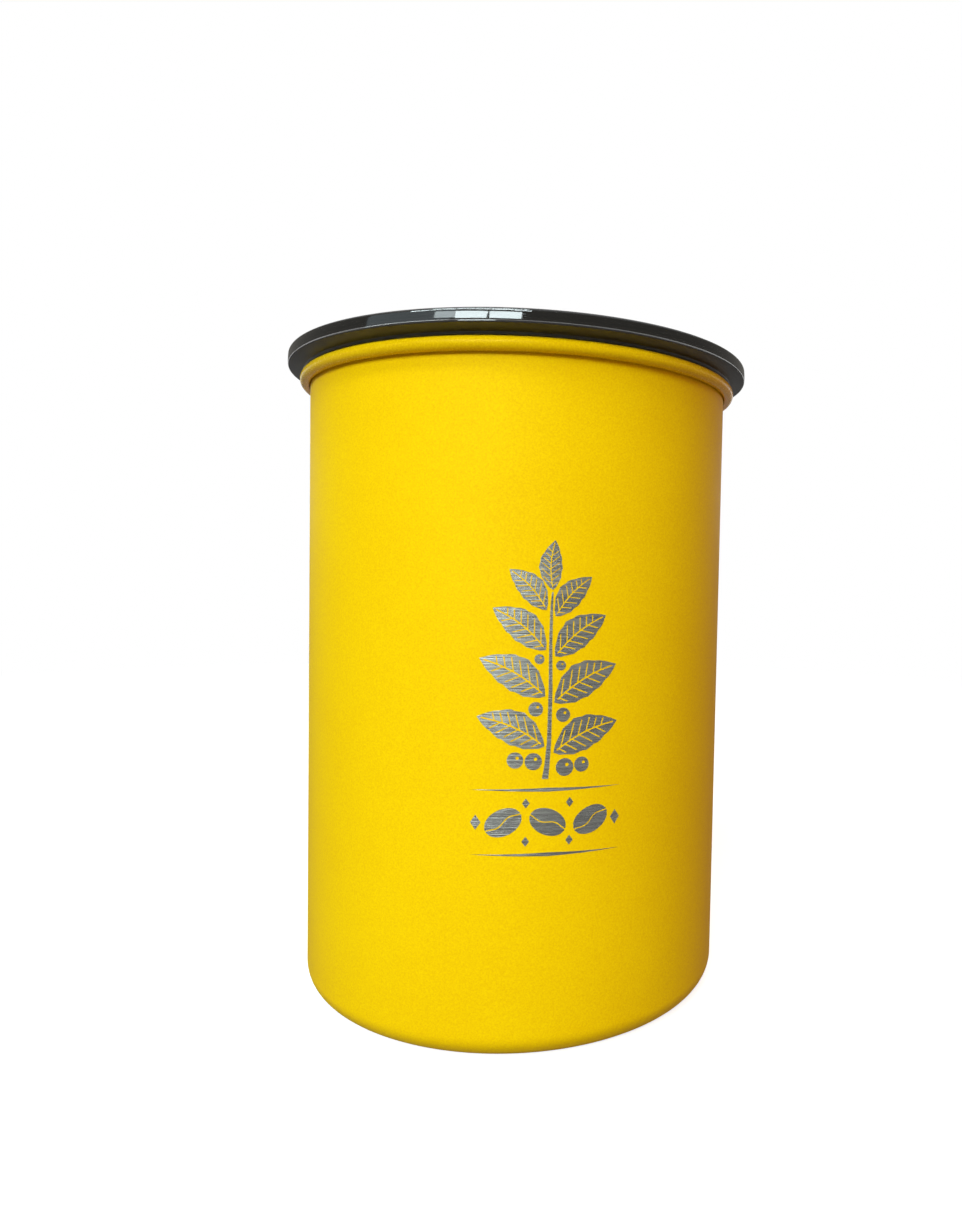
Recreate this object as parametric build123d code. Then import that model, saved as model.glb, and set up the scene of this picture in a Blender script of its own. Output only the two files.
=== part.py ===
from build123d import *
from math import cos, pi, radians, sin, sqrt
import os

# A coffee canister that presses the air out from over its beans. A drawn steel can with a
# rolled rim takes a smoked press-on lid. Inside, a plunger lid wipes the bare wall, and its
# folding handle opens a two-way air valve as it is raised.
# Millimetres, +Z up, origin at the centre of the base, front of the can towards -Y.

# Can: one drawn sheet
can_radius = 60.3
can_height = 172.65
can_wall = 0.7
base_corner = 6.5
foot_width = 4.3
base_rise = 1.5
base_bend = 1.6
curl_radius = 1.75
curl_sweep = 295

# Outer lid
lid_height = 5.1
lid_rim_radius = 66.5
lid_rim_draft = 0.8
lid_rim_round = 1.0
lid_rim_width = 4.2
lid_ledge_rise = 1.6
lid_ledge_slope = 0.9
lid_seat_radius = 62.2
lid_cove = 0.6
lid_plate = 2.0
lid_stack_depth = 1.2
lid_skirt_depth = 8.0
lid_skirt_wall = 1.8
lid_skirt_edge = 0.8
lid_skirt_gap = 0.4
lid_seat_gap = 0.05
lid_grip_gap = 0.08
lid_grip_width = 2.4

# Inner lid shells, with heights from the floor of the cover's pan
shell = 2.0
pan_radius = 41.0
pan_depth = 8.0
pan_lean = 3.0
pan_round = 2.0
flange_gap = 1.4
base_depth = 20.0
base_edge = 1.6
locating_depth = 4.0
locating_wall = 1.6
locating_gap = 0.15
rib_count = 6
rib_height = 5.0
rib_width = 1.6

# Wiper gasket
groove_depth = 2.8
groove_rise = 3.0
gasket_height = 10.0
gasket_band = 1.5
gasket_gap = 0.05
fin_count = 3
fin_root = 1.4
fin_tip = 0.7
fin_sweep = 1.2
wiper_gap = 0.05

# Handle, hinged on two pins between ears
handle_width = 54.0
handle_length = 38.0
handle_bar = 7.0
handle_thickness = 6.0
handle_corner = 15.0
handle_round = 1.8
hub_radius = 4.0
cam_width = 13.0
cam_round = 1.5
ear_width = 5.0
ear_radius = 5.0
ear_foot = 8.0
ear_gap = 0.4
pin_radius = 1.5
pin_reach = 7.0
pin_gap = 0.05
pin_end_gap = 0.3

# Air valve
valve_lift = 3.0
cam_gap = 0.08
deck_gap = 0.4
button_radius = 8.0
button_height = 2.4
button_edge = 0.6
stem_radius = 2.5
stem_gap = 0.08
well_gap = 1.0
well_depth = 8.0
well_shell = 1.6
seat_gap = 0.6
vent_radius = 1.2
vent_count = 6
vent_margin = 0.6
seal_width = 3.5
seal_height = 1.5
seal_inset = 0.55
seal_gap = 0.05
disc_height = 2.0
disc_rim = 0.7
recess_gap = 1.8
neck_radius = 1.5
barb_height = 1.0
barb_reach = 0.5
wire_radius = 0.45
spring_turns = 3.0
spring_gap = 1.2
spring_end_gap = 0.05

# Room for the inner lid to rise before its raised handle meets the outer lid
lift_room = 8.0
lift_gap = 1.0

# Worked out from the sizes above
can_bore = can_radius - can_wall
curl_z = can_height - curl_radius
lid_seat_z = can_height + lid_seat_gap
lid_top = lid_seat_z + lid_height
lid_floor_z = lid_top - lid_stack_depth
lid_underside = lid_floor_z - lid_plate
lid_skirt_radius = can_bore - lid_skirt_gap
flange_radius = can_bore - flange_gap
flange_underside = pan_depth - shell
groove_radius = flange_radius - groove_depth
lowest = -base_depth
groove_bottom = lowest + groove_rise
groove_top = groove_bottom + gasket_height + 2 * gasket_gap
case_radius = flange_radius - shell
pivot_z = hub_radius + valve_lift + deck_gap
button_top = pivot_z - hub_radius - cam_gap
button_underside = button_top - button_height
well_radius = button_radius + well_gap
well_outer = well_radius + well_shell
seat_top = -well_depth - well_shell - seat_gap
seat_face = seat_top - shell
guide_radius = stem_radius + stem_gap
coil_radius = stem_radius + spring_gap + wire_radius
vent_circle = coil_radius + wire_radius + vent_margin + vent_radius
seal_inner = vent_circle + vent_radius + vent_margin
seal_outer = seal_inner + seal_width
seal_top = seat_face - seal_gap
seal_bottom = seal_top - seal_height
disc_radius = seal_outer + disc_rim
disc_top = seal_bottom + seal_inset
disc_bottom = disc_top - disc_height
recess_radius = disc_radius + recess_gap
handle_half = handle_width / 2
ear_inner = handle_half + ear_gap
pan_z = lid_underside - lift_gap - lift_room - handle_length - pivot_z
pivot = Pos(0, 0, pivot_z)


def turned(*corners):
    """A full turn about Z of a section of (radius, height, rounding) corners."""
    rounds = [corner[2] if len(corner) > 2 else 0 for corner in corners]
    outline = FilletPolyline(*[corner[:2] for corner in corners], radius=rounds, close=True)
    return revolve(make_face(Plane.XZ * outline), Axis.Z)


def drum(radius, low, high):
    """A cylinder about Z between two heights."""
    return Pos(0, 0, (low + high) / 2) * Cylinder(radius, high - low)


def around(circle, count, tool):
    """Copies of a tool on a circle about Z."""
    return [Rot(0, 0, 360 * (i + 0.5) / count) * Pos(circle, 0, 0) * tool for i in range(count)]


def cross_bar(radius, x_from, x_to):
    """A cylinder along the handle's hinge line."""
    return pivot * Pos((x_from + x_to) / 2, 0, 0) * Rot(0, 90, 0) * Cylinder(radius, x_to - x_from)


def sheet_face(inset):
    """One face of the can's sheet: inset 0 is the outside, can_wall the inside."""
    foot_outer = can_radius - base_corner
    foot_inner = foot_outer - foot_width
    shift = inset * (sqrt(2) - 1)
    sheet = FilletPolyline(
        (0, base_rise + inset),
        (foot_inner - base_rise + shift, base_rise + inset),
        (foot_inner + shift, inset),
        (can_radius - inset, inset),
        (can_radius - inset, curl_z),
        radius=[base_bend + inset, base_bend - inset, base_corner - inset],
    )
    hollow = curl_radius - can_wall
    curl = CenterArc((can_radius + hollow, curl_z), hollow + inset, 180, -curl_sweep)
    return Wire(sheet.edges() + curl.edges())


def canister_body():
    """One sheet from the middle of the base to the tip of the rolled rim."""
    outside, inside = sheet_face(0), sheet_face(can_wall)
    ends = [Line(outside @ i, inside @ i) for i in (0, 1)]
    section = make_face(outside.edges() + inside.edges() + ends)
    return revolve(Plane.XZ * section, Axis.Z)


def outer_lid():
    """An overhanging rim, a recessed plate for stacking and a skirt that grips the bore."""
    ledge_z = lid_seat_z + lid_ledge_rise
    rim_inner = lid_rim_radius - lid_rim_width
    skirt_z = lid_seat_z - lid_skirt_depth
    skirt_inner = lid_skirt_radius - lid_skirt_wall
    grip_z = lid_seat_z - lid_skirt_depth / 2
    grip_radius = can_bore - lid_grip_gap
    grip_lead = lid_grip_width / 2 + grip_radius - lid_skirt_radius
    return turned(
        (0, lid_floor_z),
        (rim_inner - lid_stack_depth / 2, lid_floor_z),
        (rim_inner, lid_top),
        (lid_rim_radius, lid_top, lid_rim_round),
        (lid_rim_radius - lid_rim_draft, ledge_z),
        (lid_seat_radius, ledge_z - lid_ledge_slope, lid_cove),
        (lid_seat_radius, lid_seat_z),
        (lid_skirt_radius, lid_seat_z),
        (lid_skirt_radius, grip_z + grip_lead),
        (grip_radius, grip_z + lid_grip_width / 2),
        (grip_radius, grip_z - lid_grip_width / 2),
        (lid_skirt_radius, grip_z - grip_lead),
        (lid_skirt_radius, skirt_z + lid_skirt_edge),
        (lid_skirt_radius - lid_skirt_edge, skirt_z),
        (skirt_inner, skirt_z),
        (skirt_inner, lid_underside, lid_rim_round),
        (0, lid_underside),
    )


def inner_lid_base():
    """The lower shell: gasket groove, ribs, and a recess with the valve's seat and vents."""
    case_inner = groove_radius - shell
    step_z = groove_top + shell
    recess_outer = recess_radius + shell
    floor_top = lowest + shell
    case = turned(
        (guide_radius, seat_face),
        (recess_radius, seat_face),
        (recess_radius, lowest),
        (flange_radius, lowest, base_edge),
        (flange_radius, groove_bottom),
        (groove_radius, groove_bottom),
        (groove_radius, groove_top),
        (flange_radius, groove_top),
        (flange_radius, flange_underside),
        (case_radius, flange_underside),
        (case_radius, step_z),
        (case_inner, step_z),
        (case_inner, floor_top),
        (recess_outer, floor_top),
        (recess_outer, seat_top),
        (guide_radius, seat_top),
    )
    rib_length = case_inner - recess_outer + 0.5 * shell
    rib = Pos(0, 0, floor_top + rib_height / 2) * Box(rib_length, rib_width, rib_height)
    case += around((case_inner + recess_outer) / 2, rib_count, rib)
    return case - around(vent_circle, vent_count, drum(vent_radius, seat_face, seat_top))


def ear():
    """A lug on the pan floor that carries one end of the hinge."""
    corners = [(-ear_foot, 0), (ear_foot, 0), (ear_radius, pivot_z), (-ear_radius, pivot_z)]
    side = Polygon(*corners, align=None) + Pos(0, pivot_z) * Circle(ear_radius)
    return extrude(Plane.YZ * side, ear_width)


def inner_lid_cover():
    """The upper shell: a pan for the folded handle, its two ears and the spring's well."""
    lean = pan_lean * shell / pan_depth
    skirt_outer = case_radius - locating_gap
    skirt_z = flange_underside - locating_depth
    cover = turned(
        (guide_radius, -well_depth),
        (well_radius, -well_depth),
        (well_radius, 0),
        (pan_radius, 0, pan_round),
        (pan_radius + pan_lean, pan_depth, pan_round),
        (flange_radius, pan_depth, shell / 2),
        (flange_radius, flange_underside),
        (skirt_outer, flange_underside),
        (skirt_outer, skirt_z),
        (skirt_outer - locating_wall, skirt_z),
        (skirt_outer - locating_wall, flange_underside),
        (pan_radius + pan_lean + shell - lean, flange_underside),
        (pan_radius + shell - lean, -shell),
        (well_outer, -shell),
        (well_outer, -well_depth - well_shell),
        (guide_radius, -well_depth - well_shell),
    )
    cover += [Pos(ear_inner, 0, 0) * ear(), Pos(-ear_inner - ear_width, 0, 0) * ear()]
    ear_outer = ear_inner + ear_width
    cover -= cross_bar(pin_radius, -ear_outer, ear_outer)
    vent = drum(vent_radius, -well_depth - well_shell, -well_depth)
    return cover - around(vent_circle, vent_count, vent)


def wiper_gasket():
    """A silicone band with swept fins that run on the bare wall."""
    inner = groove_radius + gasket_gap
    band = inner + gasket_band
    tip = can_bore - wiper_gap
    low = groove_bottom + gasket_gap
    high = low + gasket_height
    pitch = gasket_height / fin_count
    fins = []
    for i in range(fin_count):
        root_z = low + (i + 0.5) * pitch - fin_sweep / 2
        tip_z = root_z + fin_sweep
        fins += [
            (band, root_z - fin_root / 2),
            (tip, tip_z - fin_tip / 2),
            (tip, tip_z + fin_tip / 2),
            (band, root_z + fin_root / 2),
        ]
    return turned((inner, low), (band, low), *fins, (band, high), (inner, high))


def cam_section():
    """Cam whose reach grows by the same amount for each degree that the handle turns.

    A flat follower touches a curve of reach r + k t at r + k t along the normal and k
    across it, so the lift stays in step with the angle. A flat holds the raised handle.
    """
    rate = valve_lift / (pi / 2)
    steps = [radians(angle) for angle in range(0, 91, 10)]
    nose = [
        (
            (hub_radius + rate * turn) * sin(turn) + rate * cos(turn),
            -(hub_radius + rate * turn) * cos(turn) + rate * sin(turn),
        )
        for turn in steps
    ]
    top = hub_radius + valve_lift
    outline = [
        Line((0, -hub_radius), nose[0]),
        Spline(*nose),
        Polyline(nose[-1], (top, hub_radius), (0, hub_radius)),
        CenterArc((0, 0), hub_radius, 90, 180),
    ]
    section = make_face(Wire([edge for line in outline for edge in line.edges()]))
    corner = section.vertices().sort_by(Axis.X)[-2:].sort_by(Axis.Y)[-1]
    return fillet(corner, cam_round)


def handle():
    """A bail folded forward on the pan, with a round cross bar and the cam at its middle."""
    inner_half = handle_half - handle_bar
    outer = FilletPolyline(
        (-handle_half, 0),
        (-handle_half, -handle_length),
        (handle_half, -handle_length),
        (handle_half, 0),
        radius=handle_corner,
    )
    inner = FilletPolyline(
        (inner_half, 0),
        (inner_half, handle_bar - handle_length),
        (-inner_half, handle_bar - handle_length),
        (-inner_half, 0),
        radius=handle_corner - handle_bar,
    )
    ends = [Line(outer @ 1, inner @ 0), Line(inner @ 1, outer @ 0)]
    bail = extrude(make_face(outer.edges() + inner.edges() + ends), handle_thickness / 2, both=True)
    rims = bail.edges().filter_by(Plane.XY).filter_by_position(Axis.Y, -2 * handle_length, -0.01)
    bail = pivot * fillet(rims, handle_round)
    cam = pivot * extrude(Plane.YZ * cam_section(), cam_width / 2, both=True)
    bail += [cross_bar(hub_radius, -handle_half, handle_half), cam]
    bore = pin_radius + pin_gap
    mouth = handle_half - pin_reach
    return bail - [cross_bar(bore, mouth, handle_half), cross_bar(bore, -handle_half, -mouth)]


def handle_pivot_pins():
    """Two dowels pressed in the ears that reach into the cross bar."""
    tip = handle_half - pin_reach + pin_end_gap
    ear_outer = ear_inner + ear_width
    return [cross_bar(pin_radius, tip, ear_outer), cross_bar(pin_radius, -ear_outer, -tip)]


def valve_stem():
    """The button under the cam, its guided stem and the barbed neck that holds the disc."""
    barb = neck_radius + barb_reach
    return turned(
        (0, button_top),
        (button_radius - button_edge, button_top),
        (button_radius, button_top - button_edge),
        (button_radius, button_underside),
        (stem_radius, button_underside),
        (stem_radius, disc_top),
        (neck_radius, disc_top),
        (neck_radius, disc_bottom),
        (barb, disc_bottom),
        (neck_radius, disc_bottom - barb_height),
        (0, disc_bottom - barb_height),
    )


def valve_disc():
    """The rigid disc under the seat, with a groove for its seal."""
    return turned(
        (neck_radius, disc_top),
        (seal_inner, disc_top),
        (seal_inner, seal_bottom),
        (seal_outer, seal_bottom),
        (seal_outer, disc_top),
        (disc_radius, disc_top),
        (disc_radius, disc_bottom),
        (neck_radius, disc_bottom),
    )


def valve_seal():
    """A flat silicone ring that closes on the seat."""
    return drum(seal_outer, seal_bottom, seal_top) - drum(seal_inner, seal_bottom, seal_top)


def valve_spring():
    """The coil between the floor of the well and the button, its wire drawn with eight sides."""
    low = -well_depth + spring_end_gap + wire_radius
    high = button_underside - spring_end_gap - wire_radius
    path = Pos(0, 0, low) * Helix((high - low) / spring_turns, high - low, coil_radius)
    wire = Plane(path @ 0, z_dir=path % 0) * RegularPolygon(wire_radius, 8)
    return sweep(wire, path=path)


def write(node, shape, height=0):
    """Writes one node's STEP file at its height in the can."""
    pieces = shape if isinstance(shape, list) else [shape]
    export_step(Compound([Pos(0, 0, height) * piece for piece in pieces]), f"parts/{node}.step")


os.makedirs("parts", exist_ok=True)
write("canister_body", canister_body())
write("outer_lid", outer_lid())
for piece in (
    inner_lid_base,
    inner_lid_cover,
    wiper_gasket,
    handle,
    handle_pivot_pins,
    valve_stem,
    valve_disc,
    valve_seal,
    valve_spring,
):
    write(piece.__name__, piece(), pan_z)
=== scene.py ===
import math

import bmesh
import bpy
from mathutils import Matrix, Vector


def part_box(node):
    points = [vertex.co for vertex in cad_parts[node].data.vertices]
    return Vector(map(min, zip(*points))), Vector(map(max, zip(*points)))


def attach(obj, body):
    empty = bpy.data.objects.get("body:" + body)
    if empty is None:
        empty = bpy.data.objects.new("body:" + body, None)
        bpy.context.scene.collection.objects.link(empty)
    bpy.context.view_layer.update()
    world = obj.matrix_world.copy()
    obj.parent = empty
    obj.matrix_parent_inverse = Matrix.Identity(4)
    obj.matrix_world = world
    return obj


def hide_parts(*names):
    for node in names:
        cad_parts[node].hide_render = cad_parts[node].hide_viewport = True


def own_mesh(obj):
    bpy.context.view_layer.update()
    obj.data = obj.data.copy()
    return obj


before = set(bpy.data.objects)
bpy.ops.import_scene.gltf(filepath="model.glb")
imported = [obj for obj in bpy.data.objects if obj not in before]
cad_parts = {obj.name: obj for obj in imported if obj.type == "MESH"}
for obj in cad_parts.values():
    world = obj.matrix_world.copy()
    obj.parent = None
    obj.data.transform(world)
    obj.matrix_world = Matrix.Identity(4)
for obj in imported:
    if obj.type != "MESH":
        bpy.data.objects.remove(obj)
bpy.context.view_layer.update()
print("frame loaded:", len(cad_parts), "nodes")

mm = 0.001

# corners of the CAD nodes that the new pieces are fitted to
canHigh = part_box("canister_body")[1]
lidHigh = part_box("outer_lid")[1]
springLow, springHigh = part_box("valve_spring")


def deselect():
    if bpy.context.object and bpy.context.object.mode != "OBJECT":
        bpy.ops.object.mode_set(mode="OBJECT")
    bpy.ops.object.select_all(action="DESELECT")


def activate(piece):
    deselect()
    piece.select_set(True)
    bpy.context.view_layer.objects.active = piece


def settle(piece):
    # the piece's place goes into its mesh, and its object to the origin
    activate(piece)
    bpy.ops.object.transform_apply(location=True, rotation=True, scale=True)


def arc(centre, radius, start, end, steps):
    # a round corner of a section: angles in degrees, from outwards towards up
    turns = [math.radians(start + (end - start) * i / steps) for i in range(steps + 1)]
    return [(centre[0] + radius * math.cos(t), centre[1] + radius * math.sin(t)) for t in turns]


def rounded(corner, *steps):
    # what takes the place of a sharp corner: points in millimetres outwards and up from it
    return [(corner[0] + out * mm, corner[1] + up * mm) for out, up in steps]


def turned(name, section, sides):
    # a ring is drawn out and scaled from each (radius, height) of the section to the next,
    # and a flat face closes it at both ends
    deselect()
    radius, height = section[0]
    bpy.ops.mesh.primitive_circle_add(vertices=sides, radius=radius, location=(0, 0, height))
    piece = bpy.context.object
    piece.name = name
    bpy.ops.object.mode_set(mode="EDIT")
    bpy.ops.mesh.select_all(action="SELECT")
    for (lastRadius, lastHeight), (radius, height) in zip(section, section[1:]):
        move = (0, 0, height - lastHeight)
        grow = radius / lastRadius
        bpy.ops.mesh.extrude_edges_move(TRANSFORM_OT_translate={"value": move})
        bpy.ops.transform.resize(value=(grow, grow, 1))
    bpy.ops.mesh.edge_face_add()
    bpy.ops.mesh.select_all(action="DESELECT")
    bpy.ops.mesh.select_non_manifold()
    bpy.ops.mesh.edge_face_add()
    bpy.ops.mesh.select_all(action="SELECT")
    bpy.ops.mesh.normals_make_consistent(inside=False)
    bpy.ops.object.mode_set(mode="OBJECT")
    settle(piece)
    return piece


def pick(piece, wanted):
    # selects the faces in edit mode whose centre passes a test
    mesh = bmesh.from_edit_mesh(piece.data)
    for face in mesh.faces:
        face.select_set(False)
    for face in [face for face in mesh.faces if wanted(face.calc_center_median())]:
        face.select_set(True)
    bmesh.update_edit_mesh(piece.data)


def pickPoints(piece, wanted):
    # selects vertices instead, with the edges and faces between them
    bpy.ops.mesh.select_all(action="DESELECT")
    mesh = bmesh.from_edit_mesh(piece.data)
    for vertex in mesh.verts:
        vertex.select_set(wanted(vertex.co))
    mesh.select_flush(True)
    bmesh.update_edit_mesh(piece.data)


def smooth(piece, angle):
    activate(piece)
    bpy.ops.object.shade_smooth_by_angle(angle=math.radians(angle))


def dress(piece, *materials):
    piece.data.materials.clear()
    for material in materials:
        piece.data.materials.append(material)


class Socket:
    # one output of a node; arithmetic on it adds Math nodes
    def __init__(self, tree, output):
        self.tree = tree
        self.output = output

    def combine(self, operation, first, second):
        node = self.tree.nodes.new("ShaderNodeMath")
        node.operation = operation
        for entry, value in zip(node.inputs, (first, second)):
            plug(self.tree, entry, value)
        return Socket(self.tree, node.outputs[0])

    def __add__(self, other):
        return self.combine("ADD", self, other)

    def __radd__(self, other):
        return self.combine("ADD", other, self)

    def __sub__(self, other):
        return self.combine("SUBTRACT", self, other)

    def __rsub__(self, other):
        return self.combine("SUBTRACT", other, self)

    def __mul__(self, other):
        return self.combine("MULTIPLY", self, other)

    def __rmul__(self, other):
        return self.combine("MULTIPLY", other, self)


def plug(tree, entry, value):
    if isinstance(value, Socket):
        tree.links.new(value.output, entry)
    else:
        entry.default_value = value


class Finish:
    # a material, or the world, while its nodes are laid out
    def __init__(self, owner):
        owner.use_nodes = True
        self.owner = owner
        self.tree = owner.node_tree
        self.tree.nodes.clear()

    def add(self, kind, settings=None, inputs=None, output=0):
        # the settings first, then a value or a link for each input by its name or number
        node = self.tree.nodes.new("ShaderNode" + kind)
        for name, value in (settings or {}).items():
            setattr(node, name, value)
        for name, value in (inputs or {}).items():
            plug(self.tree, node.inputs[name], value)
        return Socket(self.tree, node.outputs[output])

    def close(self, surface, kind="OutputMaterial"):
        node = self.tree.nodes.new("ShaderNode" + kind)
        plug(self.tree, node.inputs["Surface"], surface)
        return self.owner

    def noise(self, scale, detail, roughness=0.5, stretch=(1, 1, 1)):
        # a small stretch along an axis draws the pattern out that way
        coords = self.add("TexCoord", output="Object")
        place = self.add("Mapping", inputs={"Vector": coords, "Scale": stretch})
        sockets = {"Vector": place, "Scale": scale, "Detail": detail, "Roughness": roughness}
        return self.add("TexNoise", inputs=sockets)

    def climb(self, value, span):
        # from 0 to 1 while the value goes through the span
        limits = {"Value": value, "From Min": span[0], "From Max": span[1]}
        return self.add("MapRange", {"clamp": True}, limits)

    def ray(self, kind):
        # 1 for rays of this kind
        return self.add("LightPath", output=f"Is {kind} Ray")

    def blend(self, factor, first, second):
        # a Mix node repeats the names of its sockets, so its colours go by number
        return self.add("Mix", {"data_type": "RGBA"}, {0: factor, 6: first, 7: second}, 2)

    def bump(self, height, strength, distance, under=None):
        sockets = {"Height": height, "Strength": strength, "Distance": distance}
        if under:
            sockets["Normal"] = under
        return self.add("Bump", inputs=sockets)


def grey(level):
    return (level, level, level, 1)


def powderCoat(name, roughness, specular):
    # cured powder: a fine even grain over a slow ripple
    coat = {
        "yellow": (0.99, 0.68, 0.002, 1),
        "deep": (0.87, 0.52, 0.001, 1),
        "sheen": (1.0, 0.80, 0.25, 1),
        "grain": 2400,
        "ripple": 420,
        "cloud": 28,
        "relief": 0.03 * mm,
    }
    finish = Finish(bpy.data.materials.new(name))
    grain = finish.noise(coat["grain"], 2.0, 0.6)
    ripple = finish.noise(coat["ripple"], 2.0)
    cloud = finish.noise(coat["cloud"], 3.0)
    shade = 0.5 + 2.2 * (grain - 0.5) + 0.6 * (cloud - 0.5)
    normal = finish.bump(ripple, 0.3, coat["relief"])
    normal = finish.bump(grain, 0.5, coat["relief"], normal)
    surface = finish.add("BsdfPrincipled", inputs={
        "Base Color": finish.blend(shade, coat["deep"], coat["yellow"]),
        "Roughness": roughness + 0.12 * grain,
        "Normal": normal,
        "Specular IOR Level": specular,
        "Specular Tint": coat["sheen"],
    })
    return finish.close(surface)


def drawnSteel():
    # bare sheet inside the can: rings from the polishing wheel, faint draw lines up the wall
    steel = {
        "dull": (0.60, 0.60, 0.59, 1),
        "bright": (0.76, 0.75, 0.73, 1),
        "rings": 900,
        "drawLines": 500,
    }
    finish = Finish(bpy.data.materials.new("drawn_steel"))
    rings = finish.noise(steel["rings"], 3.0, 0.6, (0.02, 0.02, 1))
    drawLines = finish.noise(steel["drawLines"], 2.0, 0.5, (1, 1, 0.01))
    tone = 0.6 * rings + 0.4 * drawLines
    surface = finish.add("BsdfPrincipled", inputs={
        "Base Color": finish.blend(tone, steel["dull"], steel["bright"]),
        "Metallic": 1.0,
        "Roughness": 0.22 + 0.22 * tone,
        "Normal": finish.bump(rings, 0.2, 0.01 * mm),
    })
    return finish.close(surface)


def etchedSteel():
    # the coat burnt away down to steel that was brushed level round the can
    steel = {
        "dull": (0.22, 0.22, 0.20, 1),
        "bright": (0.64, 0.64, 0.59, 1),
        "brushing": 2400,
        "stretch": (0.015, 0.015, 1),
        "cloud": 120,
        "relief": 0.14 * mm,
    }
    finish = Finish(bpy.data.materials.new("etched_steel"))
    brushing = finish.noise(steel["brushing"], 4.0, 0.7, steel["stretch"])
    cloud = finish.noise(steel["cloud"], 2.0)
    tone = 0.5 + 1.5 * (brushing - 0.5) + 0.4 * (cloud - 0.5)
    surface = finish.add("BsdfPrincipled", inputs={
        "Base Color": finish.blend(tone, steel["dull"], steel["bright"]),
        "Metallic": 1.0,
        "Roughness": 0.21 + 0.12 * tone,
        "Normal": finish.bump(brushing, 1.0, steel["relief"]),
    })
    return finish.close(surface)


def smokedPlastic(name, roughness, coat):
    # dark see-through plastic, polished where it shows, with a little handling haze
    smoke = {
        "dark": (0.045, 0.043, 0.038, 1),
        "light": (0.062, 0.060, 0.054, 1),
        "haze": 60,
        "flow": 140,
    }
    finish = Finish(bpy.data.materials.new(name))
    haze = finish.noise(smoke["haze"], 4.0, 0.6)
    flow = finish.noise(smoke["flow"], 2.0, 0.5, (1, 1, 3))
    surface = finish.add("BsdfPrincipled", inputs={
        "Base Color": finish.blend(flow, smoke["dark"], smoke["light"]),
        "Roughness": roughness + 0.07 * haze,
        "Normal": finish.bump(flow, 0.22, 0.05 * mm),
        "IOR": 1.5,
        "Transmission Weight": 0.85,
        "Coat Weight": coat,
        "Coat Roughness": 0.03,
        "Coat IOR": 1.7,
    })
    return finish.close(surface)


def mouldedPlastic(name, dark, light, grain, roughness):
    # spark-eroded mould grain, a little paler where it is rubbed
    finish = Finish(bpy.data.materials.new(name))
    pits = finish.noise(grain, 2.0, 0.7)
    rub = finish.noise(70, 3.0)
    surface = finish.add("BsdfPrincipled", inputs={
        "Base Color": finish.blend(rub, dark, light),
        "Roughness": roughness + 0.12 * pits,
        "Normal": finish.bump(pits, 0.6, 0.06 * mm),
        "Specular IOR Level": 0.45,
    })
    return finish.close(surface)


def silicone():
    # milky rubber with a little dust on it
    rubber = {
        "dark": (0.50, 0.51, 0.50, 1),
        "light": (0.60, 0.61, 0.60, 1),
        "dust": 700,
        "cloud": 45,
    }
    finish = Finish(bpy.data.materials.new("silicone"))
    dust = finish.noise(rubber["dust"], 3.0)
    cloud = finish.noise(rubber["cloud"], 2.0)
    surface = finish.add("BsdfPrincipled", inputs={
        "Base Color": finish.blend(cloud, rubber["dark"], rubber["light"]),
        "Roughness": 0.48 + 0.15 * dust,
        "Normal": finish.bump(dust, 0.15, 0.02 * mm),
    })
    return finish.close(surface)


def turnedSteel():
    # pins and spring wire, with fine marks along their length
    steel = {"dull": (0.52, 0.52, 0.52, 1), "bright": (0.68, 0.68, 0.67, 1), "marks": 1500}
    finish = Finish(bpy.data.materials.new("turned_steel"))
    marks = finish.noise(steel["marks"], 2.0, 0.5, (0.15, 1, 1))
    surface = finish.add("BsdfPrincipled", inputs={
        "Base Color": finish.blend(marks, steel["dull"], steel["bright"]),
        "Metallic": 1.0,
        "Roughness": 0.22 + 0.15 * marks,
        "Normal": finish.bump(marks, 0.15, 0.01 * mm),
    })
    return finish.close(surface)


charcoal = {
    "dark": (0.028, 0.028, 0.031, 1),
    "light": (0.042, 0.042, 0.046, 1),
    "grain": 1800,
    "roughness": 0.46,
}
handleGrey = {
    "dark": (0.050, 0.050, 0.054, 1),
    "light": (0.070, 0.070, 0.075, 1),
    "grain": 2600,
    "roughness": 0.34,
}
materials = {
    "powderCoat": powderCoat("powder_coat", 0.46, 0.14),
    "rimCoat": powderCoat("powder_coat_rim", 0.20, 0.24),
    "drawnSteel": drawnSteel(),
    "etchedSteel": etchedSteel(),
    "smokedPlastic": smokedPlastic("smoked_plastic", 0.03, 1.0),
    "smokedMatt": smokedPlastic("smoked_plastic_underside", 0.40, 0.0),
    "charcoal": mouldedPlastic("charcoal_plastic", **charcoal),
    "handle": mouldedPlastic("handle_plastic", **handleGrey),
    "silicone": silicone(),
    "turnedSteel": turnedSteel(),
}
print("materials made:", len(materials))


def makeCamera():
    # held by hand a little to the right of the middle, not quite level, and cropped off centre
    eye = {
        "place": (13.9 * mm, -263.3 * mm, 117.7 * mm),
        "yaw": 0.0395,  # radians
        "pitch": -0.0425,
        "roll": 0.0195,
        "lens": 25.56,
        "shift": (-0.0960, 0.0043),
    }
    deselect()
    bpy.ops.object.camera_add(location=eye["place"])
    camera = bpy.context.object
    camera.rotation_mode = "QUATERNION"
    yaw, pitch = eye["yaw"], eye["pitch"]
    level = math.cos(pitch)
    ahead = Vector((math.sin(yaw) * level, math.cos(yaw) * level, math.sin(pitch)))
    tilt = Matrix.Rotation(-eye["roll"], 3, ahead).to_quaternion()
    camera.rotation_quaternion = tilt @ ahead.to_track_quat("-Z", "Y")
    camera.data.sensor_width = 36
    camera.data.lens = eye["lens"]
    camera.data.shift_x, camera.data.shift_y = eye["shift"]
    camera.data.clip_start = 10 * mm
    bpy.context.scene.camera = camera


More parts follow.
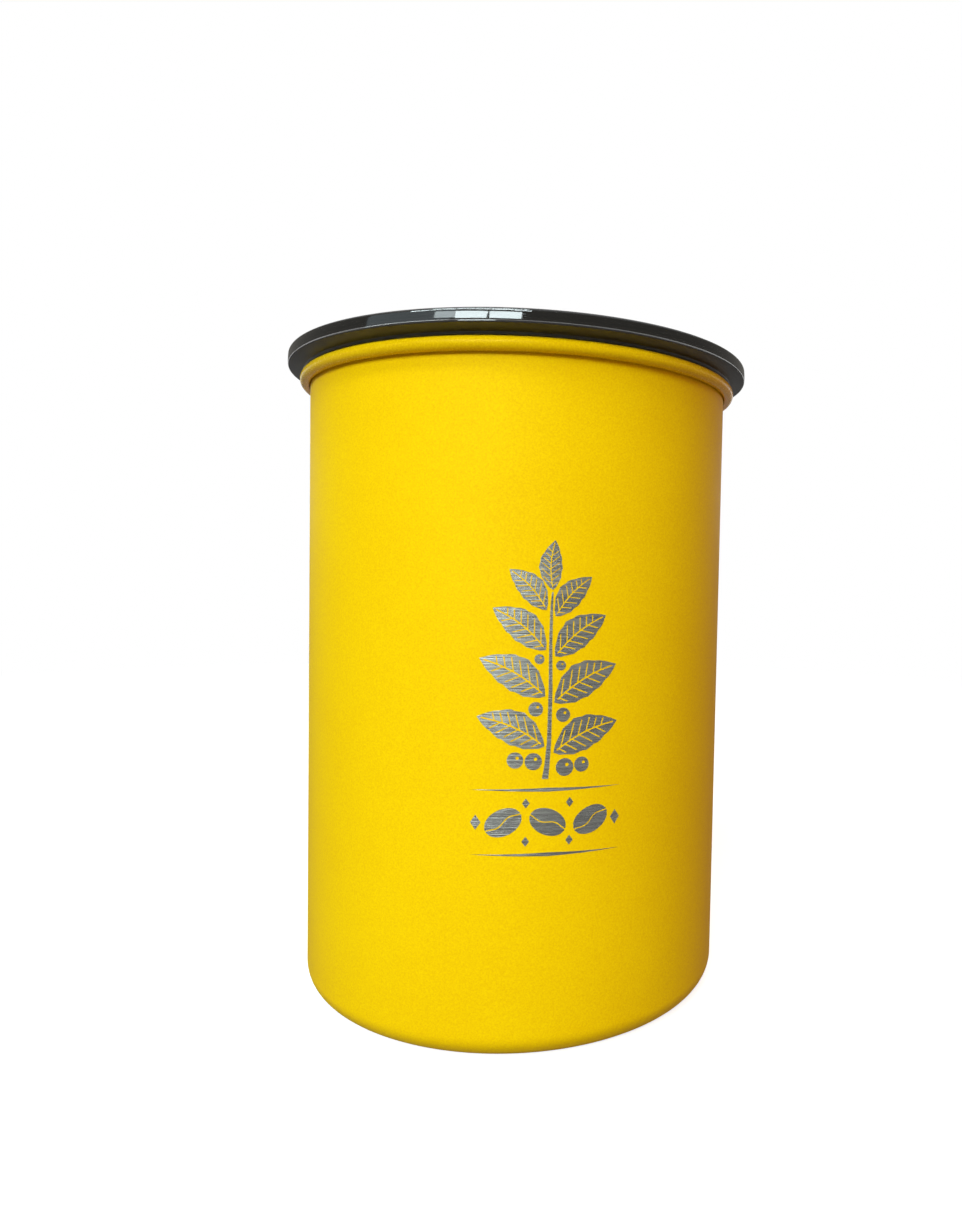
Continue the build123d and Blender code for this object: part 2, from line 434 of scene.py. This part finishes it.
makeCamera()
print("camera placed")


def canisterBody():
    # one sheet: base, foot ring, drawn corner, wall and the rim rolled outwards
    can = {
        "sides": 180,
        "wall": 0.7 * mm,
        "corner": 6.5 * mm,
        "foot": 4.3 * mm,
        "rise": 1.5 * mm,
        "curl": 1.75 * mm,
        "curlSweep": 295,
        "wallRings": 7,
        "ringStep": 20 * mm,
        "midRing": 0.3,  # share of the radius
        "hub": 6 * mm,
    }
    wall, corner, rise, curl = can["wall"], can["corner"], can["rise"], can["curl"]
    hollow = curl - wall
    radius = canHigh.x - curl - hollow
    curlCentre = (radius + hollow, canHigh.z - curl)
    footOuter = radius - corner
    footInner = footOuter - can["foot"]
    stepOuter = footInner - rise
    wallRings = [corner + can["ringStep"] * i for i in range(1, can["wallRings"] + 1)]
    # the outer face from the middle of the base up to the end of the curl
    outside = [(can["hub"], rise), (radius * can["midRing"], rise)]
    outside += rounded((stepOuter, rise), (-1.2, 0), (-0.3, -0.21))
    outside += rounded((footInner, 0), (0.3, 0.21), (1.2, 0))
    outside += arc((footOuter, corner), corner, -90, 0, 12)
    outside += [(radius, height) for height in wallRings]
    outside += arc(curlCentre, hollow, 180, 180 - can["curlSweep"], 20)
    # and the inner face back again
    inside = arc(curlCentre, curl, 180 - can["curlSweep"], 180, 26)
    inside += [(radius - wall, height) for height in reversed(wallRings)]
    inside += arc((footOuter, corner), corner - wall, 0, -90, 12)
    inside += rounded((footInner, wall), (1.2, 0), (0.6, 0.21))
    inside += rounded((stepOuter, wall + rise), (0, -0.21), (-0.9, 0))
    inside += [(radius * can["midRing"], wall + rise), (can["hub"], wall + rise)]
    body = turned("steel_can", outside + inside, can["sides"])
    smooth(body, 40)
    dress(body, materials["powderCoat"], materials["drawnSteel"], materials["rimCoat"])
    bareSteel, glossierCoat = 1, 2  # material slots
    coatEdge, curlFoot = canHigh.z - 1.6 * curl, canHigh.z - 2 * curl
    for face in body.data.polygons:
        x, y, z = face.center
        out = math.hypot(x, y)
        facesIn = face.normal.x * x + face.normal.y * y < -0.1 * out
        onFloor = z < corner and face.normal.z > 0.1
        if z < coatEdge and (facesIn or onFloor) and out < radius - 0.5 * wall:
            face.material_index = bareSteel
        elif z > curlFoot and out > radius + 0.2 * curl:
            face.material_index = glossierCoat  # the coat flows out over the curl
    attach(body, "can")
    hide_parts("canister_body")
    return body, radius, radius - wall


steelCan, canRadius, canBore = canisterBody()
print("can made:", len(steelCan.data.polygons), "faces")


def leafMaster():
    # one leaf along +X: a grid drawn in to the outline, with the midrib and the veins cut out,
    # so that the coat shows there
    leaf = {
        "length": 19.0 * mm,
        "half": 4.4 * mm,
        "bow": 1.3 * mm,
        "rib": 0.42 * mm,
        "vein": 0.34 * mm,
        "veins": 6,
        "firstVein": 0.10,
        "veinStep": 0.125,
        "lean": 52,  # degrees
        "edge": 0.8,  # share of the width that the veins cross
        "tip": 0.001,
        "columns": 16,
        "rows": 4,
    }
    length, half = leaf["length"], leaf["half"]
    deselect()
    bpy.ops.mesh.primitive_grid_add(
        x_subdivisions=leaf["columns"], y_subdivisions=leaf["rows"],
        size=1, location=(0.5 * length, 0, 0))
    piece = bpy.context.object
    piece.name = "leaf"
    piece.scale = (length, 2 * half, 1)
    settle(piece)
    stations = sorted({round(vertex.co.x, 6) for vertex in piece.data.vertices})

    def width(x):
        # share of the full width, with a slightly wavy edge
        along = min(max(x / length, 0), 1)
        wave = 1 + 0.05 * math.sin(10 * math.pi * along)
        return math.sin(math.pi * along ** 0.9) ** 0.85 * wave

    def midrib(x):
        return leaf["bow"] * math.sin(math.pi * x / length)

    def onMidrib(co):
        near = 0.02 * half * width(co.x) + 0.001 * mm
        return abs(co.y - midrib(co.x)) < near and 0.02 < co.x / length < 0.98

    def veined(co, side):
        # one side of the midrib, short of the edge, which stays whole
        return 0 < side * (co.y - midrib(co.x)) < leaf["edge"] * half * width(co.x)

    bpy.ops.object.mode_set(mode="EDIT")
    pickPoints(piece, lambda co: abs(abs(co.y) - 0.5 * half) < 0.1 * half)
    bpy.ops.transform.resize(value=(1, 2 * leaf["edge"], 1), center_override=(0, 0, 0))
    for station in stations:
        narrow = max(width(station), leaf["tip"])
        pickPoints(piece, lambda co: abs(co.x - station) < 0.01 * mm)
        bpy.ops.transform.resize(value=(1, narrow, 1), center_override=(station, 0, 0))
        bpy.ops.transform.translate(value=(0, midrib(station), 0))
    pickPoints(piece, onMidrib)
    bpy.ops.mesh.bevel(offset=leaf["rib"] / 2, affect="EDGES")
    pick(piece, lambda co: abs(co.y - midrib(co.x)) < 0.4 * leaf["rib"])
    bpy.ops.mesh.delete(type="FACE")
    lean = math.radians(leaf["lean"])
    for side in (1, -1):
        across = Vector((math.sin(lean), -side * math.cos(lean), 0))
        for i in range(leaf["veins"]):
            start = Vector(((leaf["firstVein"] + leaf["veinStep"] * i) * length, 0, 0))

            def onVein(co):
                return veined(co, side) and abs((co - start).dot(across)) < 0.5 * leaf["vein"]

            for edge in (-0.5, 0.5):
                pick(piece, lambda co: veined(co, side))
                bpy.ops.mesh.bisect(plane_co=start + across * edge * leaf["vein"], plane_no=across)
            pick(piece, onVein)
            bpy.ops.mesh.delete(type="FACE")
    bpy.ops.mesh.select_all(action="SELECT")
    bpy.ops.mesh.remove_doubles(threshold=0.01 * mm)
    bpy.ops.object.mode_set(mode="OBJECT")
    return piece


def copyOf(master, place, turn, size, flip=1):
    # place across and up in millimetres, turn in degrees, and flip -1 for a mirrored one
    piece = master.copy()
    piece.data = master.data.copy()
    bpy.context.scene.collection.objects.link(piece)
    piece.location = (place[0] * mm, place[1] * mm, 0)
    piece.rotation_euler = (0, 0, math.radians(turn))
    piece.scale = (size, size * flip, 1)
    settle(piece)
    return piece


def cherryMaster():
    # a disc with a small round hole, where the coat shows as a glint
    cherry = {"radius": 2.15 * mm, "eye": 0.30, "shift": (0.55 * mm, 0.60 * mm)}
    deselect()
    bpy.ops.mesh.primitive_circle_add(vertices=28, radius=cherry["radius"], fill_type="NGON")
    piece = bpy.context.object
    piece.name = "cherry"
    bpy.ops.object.mode_set(mode="EDIT")
    bpy.ops.mesh.select_all(action="SELECT")
    # the middle face of an inset is made small, moved to the hole's place and deleted
    bpy.ops.mesh.inset(thickness=0.3 * cherry["radius"])
    bpy.ops.transform.resize(value=(cherry["eye"], cherry["eye"], 1))
    bpy.ops.transform.translate(value=(*cherry["shift"], 0))
    bpy.ops.mesh.delete(type="FACE")
    bpy.ops.object.mode_set(mode="OBJECT")
    return piece


def beanMaster():
    # one half between the curved crease and the outline, and the same half turned round
    bean = {
        "half": (4.9 * mm, 3.3 * mm),
        "crease": 0.30 * mm,
        "sway": 0.75 * mm,
        "columns": 20,
        "reach": 0.995,  # the blunt ends stop a little short
    }
    halfLength, halfHeight = bean["half"]
    deselect()
    bpy.ops.mesh.primitive_grid_add(x_subdivisions=bean["columns"], y_subdivisions=1, size=2)
    piece = bpy.context.object
    piece.name = "bean"
    piece.scale = (bean["reach"] * halfLength, 0.5 * halfHeight, 1)
    piece.location.y = 0.5 * halfHeight
    settle(piece)
    bpy.ops.object.mode_set(mode="EDIT")
    for i in range(bean["columns"] + 1):
        along = bean["reach"] * (2 * i / bean["columns"] - 1)
        crease = bean["crease"] / 2 + bean["sway"] * math.sin(math.pi * along) * (1 - along ** 2)
        outline = halfHeight * math.sqrt(1 - along ** 2)
        for row, up in ((0, crease), (halfHeight, max(outline, crease))):
            corner = Vector((along * halfLength, row, 0))
            pickPoints(piece, lambda co: (co - corner).length < 0.01 * mm)
            bpy.ops.transform.translate(value=(0, up - row, 0))
    bpy.ops.object.mode_set(mode="OBJECT")
    other = copyOf(piece, (0, 0), 180, 1)
    activate(piece)
    other.select_set(True)
    bpy.ops.object.join()
    return piece


def diamond(place, half):
    # a lozenge, or a rule that tapers to both ends: its place and half sizes in millimetres
    deselect()
    across, up = place
    bpy.ops.mesh.primitive_circle_add(
        vertices=4, radius=1, fill_type="NGON", location=(across * mm, up * mm, 0))
    piece = bpy.context.object
    piece.scale = (half[0] * mm, half[1] * mm, 1)
    settle(piece)
    return piece


def stem(points):
    # drawn out from the foot upwards through stations of (across, up, width) in millimetres
    foot = 0.2 * mm
    deselect()
    bpy.ops.mesh.primitive_plane_add(size=1)
    piece = bpy.context.object
    piece.name = "stem"
    across, up, width = points[0]
    piece.scale = (width * mm, foot, 1)
    piece.location = (across * mm, up * mm, 0)
    settle(piece)
    bpy.ops.object.mode_set(mode="EDIT")
    pickPoints(piece, lambda co: co.y > up * mm)
    for (lastAcross, lastUp, lastWidth), (across, up, width) in zip(points, points[1:]):
        move = ((across - lastAcross) * mm, (up - lastUp) * mm, 0)
        bpy.ops.mesh.extrude_edges_move(TRANSFORM_OT_translate={"value": move})
        bpy.ops.transform.resize(value=(width / lastWidth, 1, 1))
    bpy.ops.object.mode_set(mode="OBJECT")
    return piece


def etchedArt():
    # a sprig over a band of beans, drawn flat and then wrapped on the can;
    # places across and up from the middle of the foot, and widths, are in millimetres
    art = {
        "turn": 10.5,  # degrees round the can
        "strip": 1.5 * mm,
        "reach": 21 * mm,
        "proud": 0.035 * mm,
        "thick": 0.03 * mm,
        "leafPairs": (  # up, turn, size
            (75.5, 24, 0.92), (87.5, 30, 0.94), (98.5, 38, 0.84), (108, 47, 0.68),
        ),
        "leafOut": 1.1,
        "leftLeafUp": 1.5,
        "topLeaf": ((0.35, 114.2), 88, 0.62),
        "cherries": (  # across, up, size
            (3.9, 71.9, 1.0), (-3.7, 73.4, 0.95), (8.1, 72.4, 0.85), (-8.0, 73.7, 0.9),
            (3.3, 84.5, 0.8), (-3.3, 85.9, 0.8), (2.6, 96.3, 0.55), (-2.6, 97.8, 0.55),
        ),
        "stem": (  # across, up, width
            (-0.8, 69.3, 1.5), (-0.4, 72.5, 1.2), (0, 78, 1.0), (0.15, 90, 0.9),
            (0, 102, 0.75), (0.1, 110, 0.6), (0.3, 113.6, 0.4),
        ),
        "beans": ((-10.6, 28), (0, -24), (10.6, 28)),  # across, turn
        "beanUp": 58.8,
        "beanSize": 0.95,
        "diamonds": (  # places and half sizes: between the beans, the two rules, and the ends
            (((-5.3, 63.4), (-5.3, 54.2), (5.3, 63.4), (5.3, 54.2)), (0.9, 1.2)),
            (((0, 66.6), (0, 51.0)), (18.3, 0.45)),
            (((-17.0, 58.8), (17.0, 58.8)), (1.2, 1.8)),
        ),
    }
    leaf, cherry, bean = leafMaster(), cherryMaster(), beanMaster()
    drawn = []
    for up, turn, size in art["leafPairs"]:
        drawn.append(copyOf(leaf, (art["leafOut"], up), turn, size))
        drawn.append(copyOf(leaf, (-art["leafOut"], up + art["leftLeafUp"]), 180 - turn, size, -1))
    drawn.append(copyOf(leaf, *art["topLeaf"]))
    for across, up, size in art["cherries"]:
        drawn.append(copyOf(cherry, (across, up), 0, size))
    drawn.append(stem(art["stem"]))
    for across, turn in art["beans"]:
        drawn.append(copyOf(bean, (across, art["beanUp"]), turn, art["beanSize"]))
    for places, half in art["diamonds"]:
        drawn += [diamond(place, half) for place in places]
    for master in (leaf, cherry, bean):
        bpy.data.objects.remove(master)
    activate(drawn[0])
    for piece in drawn:
        piece.select_set(True)
    bpy.ops.object.join()
    piece = bpy.context.object
    piece.name = "etched_sprig"
    bpy.ops.object.mode_set(mode="EDIT")
    # narrow strips let it bend round the can
    for i in range(round(2 * art["reach"] / art["strip"])):
        bpy.ops.mesh.select_all(action="SELECT")
        bpy.ops.mesh.bisect(plane_co=(i * art["strip"] - art["reach"], 0, 0), plane_no=(1, 0, 0))
    bpy.ops.object.mode_set(mode="OBJECT")
    # it is stood up in front of the can and cast back onto the wall
    piece.rotation_euler.x = math.radians(90)
    piece.location.y = -1.1 * canRadius
    settle(piece)
    wrap = piece.modifiers.new("wrap", "SHRINKWRAP")
    wrap.target = steelCan
    wrap.wrap_method = "PROJECT"
    wrap.use_project_y = True
    wrap.offset = art["proud"]
    bpy.ops.object.modifier_apply(modifier="wrap")
    wall = piece.modifiers.new("wall", "SOLIDIFY")
    wall.thickness = art["thick"]
    wall.offset = 0
    bpy.ops.object.modifier_apply(modifier="wall")
    piece.rotation_euler.z = math.radians(art["turn"])
    settle(piece)
    smooth(piece, 40)
    dress(piece, materials["etchedSteel"])
    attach(piece, "can")
    return piece


sprig = etchedArt()
print("etching made:", len(sprig.data.polygons), "faces")


def outerLid():
    # a sunk face in a raised rim, a ledge that sits on the bead, and a skirt that grips the bore
    lid = {
        "sides": 180,
        "rimWidth": 4.2 * mm,
        "dish": 1.2 * mm,
        "plate": 2.0 * mm,
        "fillet": 1.0 * mm,
        "sideHeight": 3.5 * mm,
        "sideRings": (2.4 * mm, 1.9 * mm, 1.4 * mm, 0.9 * mm, 0.65 * mm),
        "round": 0.75 * mm,
        "lip": 0.3 * mm,
        "footLean": 5.5,  # degrees
        "crown": 25.0,  # bulge of the side, per metre
        "crownHeight": 1.05 * mm,
        "ledgeSlope": 0.9 * mm,
        "seatRadius": 62.2 * mm,
        "seatDrop": 5.1 * mm,
        "skirtGap": 0.4 * mm,
        "skirtWall": 1.8 * mm,
        "skirtDepth": 8.0 * mm,
        "gripWidth": 2.4 * mm,
        "gripGap": 0.08 * mm,
        "midRing": 0.45,  # share of the radius
        "hub": 6 * mm,
    }
    top, radius = lidHigh.z, lidHigh.x
    dishFloor = top - lid["dish"]
    under = dishFloor - lid["plate"]
    seat = top - lid["seatDrop"]
    sideFoot = top - lid["sideHeight"]
    skirt = canBore - lid["skirtGap"]
    skirtInner = skirt - lid["skirtWall"]
    skirtFoot = seat - lid["skirtDepth"]
    rimInner = radius - lid["rimWidth"]
    grip = seat - lid["skirtDepth"] / 2
    gripRadius = canBore - lid["gripGap"]
    gripHalf = lid["gripWidth"] / 2

    def side(height):
        # the side bulges a little, so that it holds a narrow reflection
        return radius - lid["crown"] * (height - sideFoot - lid["crownHeight"]) ** 2

    # the sunk face, its rim and the shoulder
    section = [(lid["hub"], dishFloor), (radius * lid["midRing"], dishFloor)]
    section += rounded((rimInner, dishFloor), (-2.2, 0), (-1.0, 0.12))
    section += rounded((rimInner, top), (-0.1, -0.35), (0.5, -0.03), (1.2, 0))
    shoulder = top - lid["round"]
    section += arc((side(shoulder) - lid["round"], shoulder), lid["round"], 90, 8, 8)
    # the side, which leans in below its last ring to a small lip
    sideRings = [sideFoot + up for up in lid["sideRings"]]
    section += [(side(height), height) for height in sideRings]
    lipMiddle = sideFoot + lid["lip"]
    leanIn = (sideRings[-1] - lipMiddle) * math.tan(math.radians(lid["footLean"]))
    lipRadius = side(sideRings[-1]) - leanIn
    section += arc((lipRadius - lid["lip"], lipMiddle), lid["lip"], -lid["footLean"], -80, 5)
    # the sloping underside and the seat on the can's bead
    section += rounded((lid["seatRadius"], sideFoot - lid["ledgeSlope"]), (0.6, 0.1), (0.1, -0.15))
    section += rounded((lid["seatRadius"], seat), (0, 0.2), (-0.2, 0))
    section += [(skirt, seat)]
    # the skirt with its grip band
    section += rounded((skirt, grip + gripHalf), (0, 0.4))
    section += [(gripRadius, grip + gripHalf), (gripRadius, grip - gripHalf)]
    section += rounded((skirt, grip - gripHalf), (0, -0.4))
    section += rounded((skirt, skirtFoot), (0, 0.8), (-0.8, 0))
    section += rounded((skirtInner, skirtFoot), (0.15, 0), (0, 0.15))
    # and the underside of the plate
    section += arc((skirtInner - lid["fillet"], under - lid["fillet"]), lid["fillet"], 0, 90, 5)
    section += [(radius * lid["midRing"], under), (lid["hub"], under)]
    piece = turned("lid", section, lid["sides"])
    smooth(piece, 35)
    dress(piece, materials["smokedPlastic"], materials["smokedMatt"])
    polished, matt = 0, 1  # material slots
    mattBelow = sideFoot + 0.1 * mm
    for face in piece.data.polygons:
        below = face.center.z < mattBelow or face.normal.z < -0.5
        face.material_index = matt if below else polished
    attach(piece, "lid")
    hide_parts("outer_lid")
    return piece


smokedLid = outerLid()
print("lid made:", len(smokedLid.data.polygons), "faces")


def valveSpring():
    # a ring of wire drawn round and up, with the end coils closed up
    spring = {
        "wire": 0.45 * mm,
        "wireSides": 12,
        "steps": 24,  # to a turn
        "activeTurns": 3.0,
        "deadTurns": 0.75,
        "seat": 3.0 / 8.79,  # share of its length that it gives up when the valve opens
    }
    coil = springHigh.x - spring["wire"]
    low, high = springLow.z + spring["wire"], springHigh.z - spring["wire"]
    deadRise = 2 * spring["wire"] / spring["steps"]
    deadSteps = round(spring["deadTurns"] * spring["steps"])
    activeSteps = round(spring["activeTurns"] * spring["steps"])
    activeRise = (high - low - 2 * deadSteps * deadRise) / activeSteps
    deselect()
    bpy.ops.mesh.primitive_circle_add(
        vertices=spring["wireSides"], radius=spring["wire"],
        location=(coil, 0, low), rotation=(math.radians(90), 0, 0))
    piece = bpy.context.object
    piece.name = "valve_spring_wire"
    settle(piece)
    bpy.ops.object.mode_set(mode="EDIT")
    bpy.ops.mesh.select_all(action="SELECT")
    step = math.tau / spring["steps"]
    for rise in [deadRise] * deadSteps + [activeRise] * activeSteps + [deadRise] * deadSteps:
        bpy.ops.mesh.extrude_edges_move(TRANSFORM_OT_translate={"value": (0, 0, rise)})
        bpy.ops.transform.rotate(value=step, orient_axis="Z", center_override=(0, 0, 0))
    bpy.ops.mesh.select_all(action="SELECT")
    bpy.ops.mesh.fill_holes(sides=0)
    bpy.ops.mesh.normals_make_consistent(inside=False)
    bpy.ops.object.mode_set(mode="OBJECT")
    smooth(piece, 50)
    dress(piece, materials["turnedSteel"])
    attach(piece, "plunger")
    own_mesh(piece)
    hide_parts("valve_spring")
    return piece


springWire = valveSpring()
print("spring made:", len(springWire.data.polygons), "faces")


# the inner lid keeps the shapes of its CAD nodes and only gets finishes
innerLid = {
    "inner_lid_base": "charcoal",
    "inner_lid_cover": "charcoal",
    "wiper_gasket": "silicone",
    "handle": "handle",
    "handle_pivot_pins": "turnedSteel",
    "valve_stem": "handle",
    "valve_disc": "charcoal",
    "valve_seal": "silicone",
}
for node, name in innerLid.items():
    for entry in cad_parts[node].material_slots:
        entry.material = materials[name]
print("inner lid dressed:", len(innerLid), "nodes")


def makeStage():
    # the camera sees white paper that keeps the shadow near the can,
    # light bounces off a tan board, and mirrors see a dim floor
    floor = {
        "size": 12.0,
        "drop": 0.05 * mm,
        "paper": ((0.60, 0.59, 0.57, 1), (0.64, 0.63, 0.61, 1)),
        "board": ((0.17, 0.14, 0.105, 1), (0.20, 0.165, 0.13, 1)),
        "fibre": 900,
        "glow": 0.78,
        "mirrored": 0.28,
        "fadeSpan": (0.25, 0.9),
    }
    deselect()
    bpy.ops.mesh.primitive_plane_add(size=floor["size"], location=(0, 0, -floor["drop"]))
    plane = bpy.context.object
    plane.name = "floor"
    settle(plane)
    finish = Finish(bpy.data.materials.new("floor_paper"))
    coords = finish.add("TexCoord", output="Object")
    away = finish.add("VectorMath", {"operation": "LENGTH"}, {"Vector": coords}, "Value")
    fade = finish.climb(away, floor["fadeSpan"])
    seen = finish.ray("Camera")
    mirrored = finish.ray("Glossy") + finish.ray("Transmission")
    fibre = finish.noise(floor["fibre"], 3.0)
    paper = finish.add("BsdfDiffuse", inputs={"Color": finish.blend(fibre, *floor["paper"])})
    glow = finish.add("Emission", inputs={"Color": grey(1), "Strength": floor["glow"]})
    lifted = finish.add("AddShader", inputs={0: paper, 1: glow})
    white = finish.add("Emission", inputs={"Color": grey(1), "Strength": 1.0})
    shown = finish.add("MixShader", inputs={0: fade, 1: lifted, 2: white})
    board = finish.add("BsdfDiffuse", inputs={"Color": finish.blend(fibre, *floor["board"])})
    dim = finish.add("Emission", inputs={"Color": grey(1), "Strength": floor["mirrored"]})
    board = finish.add("MixShader", inputs={0: mirrored, 1: board, 2: dim})
    dress(plane, finish.close(finish.add("MixShader", inputs={0: seen, 1: board, 2: shown})))


def makeWorld():
    # white to the camera; a dim room to the light, warm towards the right and pale behind;
    # and a neutral one, with a pale band at the horizon, to mirrors
    air = {
        "left": (0.05, 0.04, 0.03, 1),
        "right": (0.46, 0.19, 0.07, 1),
        "behind": (2.6, 2.35, 1.95, 1),
        "top": (0.22, 0.17, 0.12, 1),
        "rightSpan": (-0.8, 0.8),
        "behindSpan": (0.66, 0.92),
        "topSpan": (0.2, 1.0),
        "mirrored": (0.13, 0.125, 0.115, 1),
        "mirroredAbove": 0.6,
        "aboveSpan": (0.5, 0.9),
        "skyline": 1.4,
        "skylineFoot": (0.03, 0.05),
        "skylineTop": (0.13, 0.15),
    }
    world = bpy.data.worlds.new("studio")
    bpy.context.scene.world = world
    finish = Finish(world)
    coords = finish.add("TexCoord", output="Generated")
    x, y, z = [finish.add("SeparateXYZ", inputs={"Vector": coords}, output=axis) for axis in "XYZ"]
    room = finish.blend(finish.climb(x, air["rightSpan"]), air["left"], air["right"])
    room = finish.blend(finish.climb(y, air["behindSpan"]), room, air["behind"])
    room = finish.blend(finish.climb(z, air["topSpan"]), room, air["top"])
    skyline = finish.climb(z, air["skylineFoot"]) - finish.climb(z, air["skylineTop"])
    shown = finish.blend(skyline, air["mirrored"], grey(air["skyline"]))
    shown = finish.blend(finish.climb(z, air["aboveSpan"]), shown, grey(air["mirroredAbove"]))
    mirrored = finish.ray("Glossy") + finish.ray("Transmission")
    colour = finish.blend(mirrored, room, shown)
    colour = finish.blend(finish.ray("Camera"), colour, grey(1))
    backdrop = finish.add("Background", inputs={"Color": colour, "Strength": 1.0})
    finish.close(backdrop, "OutputWorld")


def softbox(name, azimuth, elevation, distance, size, radiance, colour):
    # azimuth turns from the front towards the right; the box faces the middle of the can
    target = Vector((0, 0, canHigh.z * 0.9))
    turn, lift = math.radians(azimuth), math.radians(elevation)
    level = math.cos(lift)
    outwards = Vector((math.sin(turn) * level, -math.cos(turn) * level, math.sin(lift)))
    deselect()
    bpy.ops.object.light_add(type="AREA", location=target + outwards * distance)
    lamp = bpy.context.object
    lamp.name = name
    lamp.rotation_euler = outwards.to_track_quat("Z", "Y").to_euler()
    lamp.data.shape = "RECTANGLE"
    lamp.data.size, lamp.data.size_y = size
    lamp.data.energy = radiance * math.pi * size[0] * size[1]
    lamp.data.color = colour
    return lamp


def makeLights():
    # for each lamp: azimuth, elevation, distance, width and height, radiance, colour
    cool, blue, warm = (0.86, 0.98, 1.0), (0.72, 0.90, 1.0), (1.0, 0.63, 0.38)
    lamps = {
        "window_left": (-20.0, 19, 1.6, (0.38, 0.26), 8.5, cool),
        "window_right": (-4.5, 19, 1.6, (0.38, 0.26), 8.5, cool),
        "key_high": (-23, 56, 3.0, (1.9, 0.35), 20.7, cool),
        "key_low": (-23, 25, 3.0, (1.9, 1.0), 8.3, cool),
        "tube": (-22, 33, 1.5, (1.4, 0.07), 12.0, cool),
        "side_screen": (-50, 20, 1.4, (1.05, 0.5), 0.45, blue),
        "sill": (-50, 7, 1.4, (1.05, 0.03), 7.5, cool),
        "curtain": (-32, 20, 1.6, (0.26, 0.22), 3.2, cool),
        "doorway": (-17, 1, 1.6, (0.46, 0.28), 4.6, cool),
        "room_right": (80, 15, 1.6, (1.2, 1.2), 0.40, warm),
    }
    mirroredOnly = ("side_screen", "sill", "curtain", "doorway")
    neverMirrored = ("key_low", "room_right")
    for name, values in lamps.items():
        lamp = softbox(name, *values)
        lamp.visible_diffuse = name not in mirroredOnly
        lamp.visible_glossy = name not in neverMirrored


makeStage()
makeWorld()
makeLights()
bpy.context.scene.view_settings.view_transform = "Standard"
print("stage and lights set")
